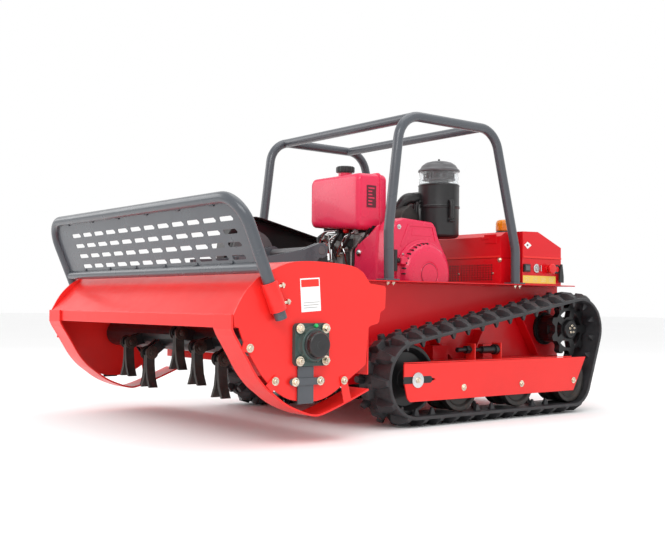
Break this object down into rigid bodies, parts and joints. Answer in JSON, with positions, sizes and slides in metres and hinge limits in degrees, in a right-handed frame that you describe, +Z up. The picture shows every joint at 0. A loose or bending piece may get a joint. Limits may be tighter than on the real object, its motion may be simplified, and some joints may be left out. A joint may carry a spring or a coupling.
{
  "type": "tracked flail mulcher",
  "caption": "Remote-controlled crawler with rubber tracks, air-cooled engine, roll cage and a lifting flail mulching head with a slotted guard.",
  "frame": {"origin": "centre of the bounding box at ground level", "axes": "+Z up, -Y towards the mulching head, +X towards the side with the recoil starter"},
  "size_m": [1.2896, 1.736, 1.0291],
  "materials": {
    "head_red": "gloss",
    "hull_red": "gloss",
    "engine_red": "gloss",
    "pipe_grey": "semi-gloss",
    "black_paint": "satin",
    "black_plastic": "matt",
    "grey_plastic": "satin",
    "track_rubber": "matt",
    "cast_iron": "rough cast",
    "cast_aluminium": "cast",
    "wheel_steel": "worn",
    "bright_steel": "zinc plated",
    "clear_plastic": "clear",
    "amber_lens": "gloss",
    "button_red": "gloss"
  },
  "bodies": {
    "chassis": {"hull": "hull_red", "pivot_stands": "black_paint", "roll_cage": "pipe_grey", "control_box": "hull_red", "engine_block": "cast_aluminium", "blower_housing": "engine_red", "recoil_cover": "engine_red", "fuel_tank": "engine_red", "muffler": "black_paint", "air_filter": "black_plastic", "precleaner_bowl": "clear_plastic", "precleaner_cap": "grey_plastic", "belt_guard": "black_paint", "actuator_tube": "black_paint", "track_frame_right": "head_red", "track_frame_left": "head_red", "track_belt_right": "track_rubber", "track_belt_left": "track_rubber", "drive_motor_right": "black_paint", "drive_motor_left": "black_paint", "tensioner_right": "black_paint", "tensioner_left": "black_paint"},
    "head": {"hood": "head_red", "lift_frame": "pipe_grey", "end_plate_right": "head_red", "end_plate_left": "head_red", "skid_right": "head_red", "skid_left": "head_red", "bearing_right": "cast_iron", "bearing_left": "cast_iron", "depth_strap_right": "pipe_grey", "depth_strap_left": "pipe_grey"},
    "guard": {"guard_frame": "pipe_grey", "guard_panel": "pipe_grey"},
    "rotor": {"rotor": "black_paint"},
    "actuator_rod": {"actuator_rod": "bright_steel"},
    "drive_pulley": {"drive_pulley": "grey_plastic"},
    "lid": {"control_box_lid": "hull_red", "beacon_lens": "amber_lens"},
    "emergency_stop": {"emergency_stop": "button_red"},
    "ignition_key": {"ignition_key": "bright_steel"},
    "socket_cap": {"socket_cap": "black_plastic"},
    "fuel_cap": {"fuel_cap": "black_plastic"},
    "starter_handle": {"starter_handle": "black_plastic"},
    "flail_1": {"flail_1": "wheel_steel"},
    "flail_2": {"flail_2": "wheel_steel"},
    "flail_3": {"flail_3": "wheel_steel"},
    "flail_4": {"flail_4": "wheel_steel"},
    "flail_5": {"flail_5": "wheel_steel"},
    "flail_6": {"flail_6": "wheel_steel"},
    "sprocket_right": {"sprocket_right": "black_paint"},
    "idler_right": {"idler_right": "black_paint"},
    "roller_front_right": {"roller_front_right": "wheel_steel"},
    "roller_middle_right": {"roller_middle_right": "wheel_steel"},
    "roller_rear_right": {"roller_rear_right": "wheel_steel"},
    "sprocket_left": {"sprocket_left": "black_paint"},
    "idler_left": {"idler_left": "black_paint"},
    "roller_front_left": {"roller_front_left": "wheel_steel"},
    "roller_middle_left": {"roller_middle_left": "wheel_steel"},
    "roller_rear_left": {"roller_rear_left": "wheel_steel"}
  },
  "joints": [
    {"name": "head_lift", "type": "hinge", "parent": "chassis", "child": "head", "pos_m": [0, -0.225, 0.566], "axis": [-1, 0, 0], "range_deg": [-12, 15]},
    {"name": "actuator_extend", "type": "slide", "parent": "chassis", "child": "actuator_rod", "axis": [0, -0.2412, 0.9705], "range_m": [-0.034, 0.042]},
    {"name": "rotor_spin", "type": "hinge", "parent": "head", "child": "rotor", "pos_m": [0, -0.606, 0.276], "axis": [1, 0, 0], "continuous": true},
    {"name": "flail_1_swing", "type": "hinge", "parent": "rotor", "child": "flail_1", "pos_m": [-0.44, -0.55059, 0.20508], "axis": [1, 0, 0], "range_deg": [-60, 60]},
    {"name": "flail_2_swing", "type": "hinge", "parent": "rotor", "child": "flail_2", "pos_m": [-0.31, -0.69293, 0.25271], "axis": [1, 0, 0], "range_deg": [-60, 60]},
    {"name": "flail_3_swing", "type": "hinge", "parent": "rotor", "child": "flail_3", "pos_m": [-0.19, -0.67788, 0.22184], "axis": [1, 0, 0], "range_deg": [-60, 60]},
    {"name": "flail_4_swing", "type": "hinge", "parent": "rotor", "child": "flail_4", "pos_m": [0.03, -0.69435, 0.29317], "axis": [1, 0, 0], "range_deg": [-60, 35]},
    {"name": "flail_5_swing", "type": "hinge", "parent": "rotor", "child": "flail_5", "pos_m": [0.143, -0.69293, 0.25271], "axis": [1, 0, 0], "range_deg": [-60, 60]},
    {"name": "flail_6_swing", "type": "hinge", "parent": "rotor", "child": "flail_6", "pos_m": [0.255, -0.67788, 0.22184], "axis": [1, 0, 0], "range_deg": [-60, 60]},
    {"name": "guard_slide", "type": "slide", "parent": "head", "child": "guard", "axis": [0, -0.3896, 0.921], "range_m": [0, 0.05]},
    {"name": "pulley_spin", "type": "hinge", "parent": "chassis", "child": "drive_pulley", "pos_m": [-0.25, -0.225, 0.566], "axis": [1, 0, 0], "continuous": true},
    {"name": "lid_hinge", "type": "hinge", "parent": "chassis", "child": "lid", "pos_m": [0, 0.744, 0.563], "axis": [-1, 0, 0], "range_deg": [0, 85]},
    {"name": "stop_press", "type": "slide", "parent": "chassis", "child": "emergency_stop", "axis": [-1, 0, 0], "range_m": [0, 0.004], "stiffness_N_per_m": 1500},
    {"name": "key_turn", "type": "hinge", "parent": "chassis", "child": "ignition_key", "pos_m": [0.3793, 0.601, 0.525], "axis": [1, 0, 0], "range_deg": [0, 90]},
    {"name": "socket_cap_swing", "type": "hinge", "parent": "chassis", "child": "socket_cap", "pos_m": [0.385, 0.733, 0.54], "axis": [-1, 0, 0], "range_deg": [-10, 45]},
    {"name": "fuel_cap_lift", "type": "slide", "parent": "chassis", "child": "fuel_cap", "axis": [0, 0, 1], "range_m": [0, 0.03]},
    {"name": "starter_pull", "type": "slide", "parent": "chassis", "child": "starter_handle", "axis": [0, -1, 0], "range_m": [0, 0.12], "stiffness_N_per_m": 40},
    {"name": "sprocket_spin_right", "type": "hinge", "parent": "chassis", "child": "sprocket_right", "pos_m": [0.414, 0.728, 0.302], "axis": [1, 0, 0], "continuous": true},
    {"name": "idler_spin_right", "type": "hinge", "parent": "chassis", "child": "idler_right", "pos_m": [0.414, -0.092, 0.15], "axis": [1, 0, 0], "continuous": true},
    {"name": "roller_front_spin_right", "type": "hinge", "parent": "chassis", "child": "roller_front_right", "pos_m": [0.414, 0.117, 0.118], "axis": [1, 0, 0], "continuous": true},
    {"name": "roller_middle_spin_right", "type": "hinge", "parent": "chassis", "child": "roller_middle_right", "pos_m": [0.414, 0.402, 0.118], "axis": [1, 0, 0], "continuous": true},
    {"name": "roller_rear_spin_right", "type": "hinge", "parent": "chassis", "child": "roller_rear_right", "pos_m": [0.414, 0.686, 0.118], "axis": [1, 0, 0], "continuous": true},
    {"name": "sprocket_spin_left", "type": "hinge", "parent": "chassis", "child": "sprocket_left", "pos_m": [-0.414, 0.728, 0.302], "axis": [1, 0, 0], "continuous": true},
    {"name": "idler_spin_left", "type": "hinge", "parent": "chassis", "child": "idler_left", "pos_m": [-0.414, -0.092, 0.15], "axis": [1, 0, 0], "continuous": true},
    {"name": "roller_front_spin_left", "type": "hinge", "parent": "chassis", "child": "roller_front_left", "pos_m": [-0.414, 0.117, 0.118], "axis": [1, 0, 0], "continuous": true},
    {"name": "roller_middle_spin_left", "type": "hinge", "parent": "chassis", "child": "roller_middle_left", "pos_m": [-0.414, 0.402, 0.118], "axis": [1, 0, 0], "continuous": true},
    {"name": "roller_rear_spin_left", "type": "hinge", "parent": "chassis", "child": "roller_rear_left", "pos_m": [-0.414, 0.686, 0.118], "axis": [1, 0, 0], "continuous": true}
  ],
  "couplings": [
    {"joint": "actuator_extend", "follows": "head_lift", "m_per_rad": 0.1512},
    {"joint": "pulley_spin", "follows": "rotor_spin", "ratio": 1},
    {"joint": "idler_spin_right", "follows": "sprocket_spin_right", "ratio": 0.91228},
    {"joint": "roller_front_spin_right", "follows": "sprocket_spin_right", "ratio": 1.2683},
    {"joint": "roller_middle_spin_right", "follows": "sprocket_spin_right", "ratio": 1.2683},
    {"joint": "roller_rear_spin_right", "follows": "sprocket_spin_right", "ratio": 1.2683},
    {"joint": "idler_spin_left", "follows": "sprocket_spin_left", "ratio": 0.91228},
    {"joint": "roller_front_spin_left", "follows": "sprocket_spin_left", "ratio": 1.2683},
    {"joint": "roller_middle_spin_left", "follows": "sprocket_spin_left", "ratio": 1.2683},
    {"joint": "roller_rear_spin_left", "follows": "sprocket_spin_left", "ratio": 1.2683}
  ]
}
